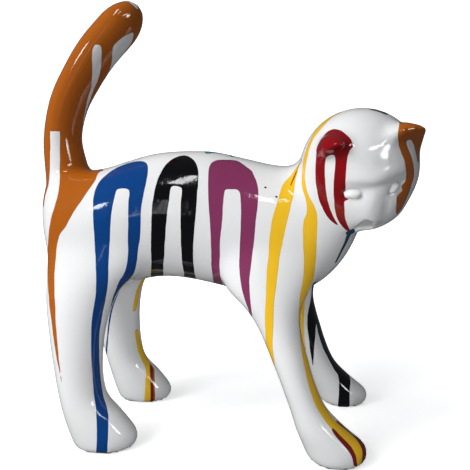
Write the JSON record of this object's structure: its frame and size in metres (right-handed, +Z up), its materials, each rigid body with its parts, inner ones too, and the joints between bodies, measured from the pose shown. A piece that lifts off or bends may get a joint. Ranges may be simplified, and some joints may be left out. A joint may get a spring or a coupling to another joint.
{
  "type": "ceramic cat statue",
  "caption": "Glossy white ceramic cat standing with tail up and head lowered and turned aside, decorated with runs of coloured glaze down its body, legs, tail and ears.",
  "frame": {"origin": "floor level, under the middle of the figure's length and width", "axes": "+X the way the cat walks, +Y its left side, +Z up; the tail is at -X and the head looks over the right side, -Y"},
  "size_m": [0.4039, 0.1775, 0.4704],
  "materials": {
    "glaze": "high gloss white glaze with poured runs of colour"
  },
  "bodies": {
    "root": {"cat": "glaze"}
  },
  "joints": []
}
